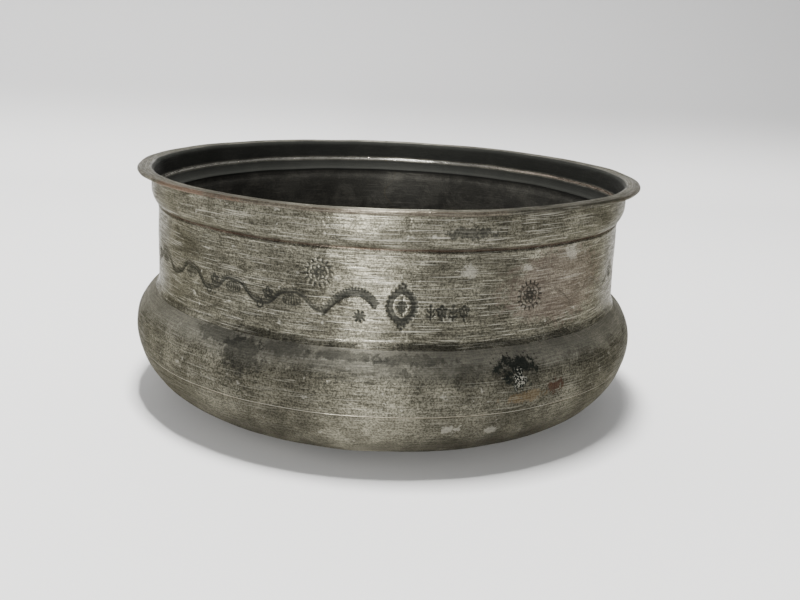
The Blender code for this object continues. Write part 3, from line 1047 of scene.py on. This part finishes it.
# ---------------------------------------------------------------------------------------------
# The table, the lights and the camera: a pale sheet that sweeps up behind, one long soft light
# overhead, a narrow one high at the left of the front, and pale light from all round.


BELOW_BASE = 0.0002      # so that the table and the bowl's base don't share a plane


def sweep():
    """A pale sheet: flat under the bowl, curving up behind it, one strip of quads, with shade
    painted on it, darker up the sweep and towards the right.
    """
    line = [(-1.6, 0.0), (0.48, 0.0)]
    line += [(0.48 + 0.22 * math.sin(t), 0.22 - 0.22 * math.cos(t))
             for t in np.linspace(0, math.pi / 2, 24)[1:]]
    line += [(0.70, 2.4)]
    vertices = [(x, y, z - BELOW_BASE) for y, z in line for x in (-2.2, 2.2)]
    faces = [(2 * k, 2 * k + 1, 2 * k + 3, 2 * k + 2) for k in range(len(line) - 1)]
    mesh = bpy.data.meshes.new("table")
    mesh.from_pydata(vertices, [], faces)
    mesh.shade_smooth()
    material, shader, w = new_material("table_paper")
    place = w.add("ShaderNodeTexCoord", out=3)
    spread = w.add("ShaderNodeSeparateXYZ", {0: place}, out=0).node.outputs
    # Painted shade: the sheet darkens towards the right, and much more up the sweep behind.
    painted_shade_to_right = w.between(spread[0], -0.8, 0.8)
    behind = w.blend(painted_shade_to_right, (0.58, 0.58, 0.585, 1), (0.33, 0.33, 0.335, 1))
    flat = w.blend(painted_shade_to_right, (0.87, 0.87, 0.87, 1), (0.80, 0.80, 0.80, 1))
    colour = w.blend(w.between(spread[2], 0.0, 0.08), flat, behind)
    w.put(shader.inputs["Base Color"], colour)
    shader.inputs["Roughness"].default_value = 0.9
    mesh.materials.append(material)
    placed("table", mesh)


LAMP_WHITE = (1.0, 0.99, 0.97)


def lamp(name, place, aim, size, power):
    """A rectangular light at a place, turned to a point."""
    light = bpy.data.lights.new(name, "AREA")
    light.shape = "RECTANGLE"
    light.size, light.size_y = size
    light.energy = power
    light.color = LAMP_WHITE
    piece = placed(name, light)
    piece.location = place
    piece.rotation_mode = "QUATERNION"
    piece.rotation_quaternion = (Vector(aim) - Vector(place)).to_track_quat("-Z", "Y")


STANDPOINT = (0.0, -0.40817, 0.14642)
YAW, PITCH, ROLL = -0.0153768, -0.130716, -0.0442394
LENS, SENSOR = 45, 36


def look():
    """The camera: towards the rim's middle, then turned by small angles about its own axes."""
    place = Vector(STANDPOINT)
    forward = (Vector((0, 0, RIM_HEIGHT)) - place).normalized()
    right = Vector((1, 0, 0))
    up = right.cross(forward)
    axes = [forward, right, up]
    for axis, angle in ((2, YAW), (1, PITCH), (0, ROLL)):
        turn = Quaternion(axes[axis], angle)
        axes = [turn @ direction for direction in axes]
    forward, right, up = axes
    data = bpy.data.cameras.new("camera")
    data.lens, data.sensor_width = LENS, SENSOR
    camera = placed("camera", data)
    camera.matrix_world = Matrix.Translation(place) @ Matrix(
        (right, up, -forward)).transposed().to_4x4()
    bpy.context.scene.camera = camera


sweep()
lamp("overhead", (-0.045, -0.02, 1.50), (0.0, 0.0, 0.0), (0.24, 0.14), 52.0)
lamp("left", (-1.30, 0.0, 0.50), (0.0, 0.0, 0.0), (0.70, 0.60), 3.2)
lamp("front_left", (-0.19, -1.15, 0.17), (0.0, 0.0, 0.06), (0.08, 0.24), 12.0)

world = bpy.context.scene.world or bpy.data.worlds.new("World")
bpy.context.scene.world = world
world.use_nodes = True
background = world.node_tree.nodes["Background"].inputs
background["Color"].default_value = (0.95, 0.97, 1.0, 1)
background["Strength"].default_value = 0.24
look()
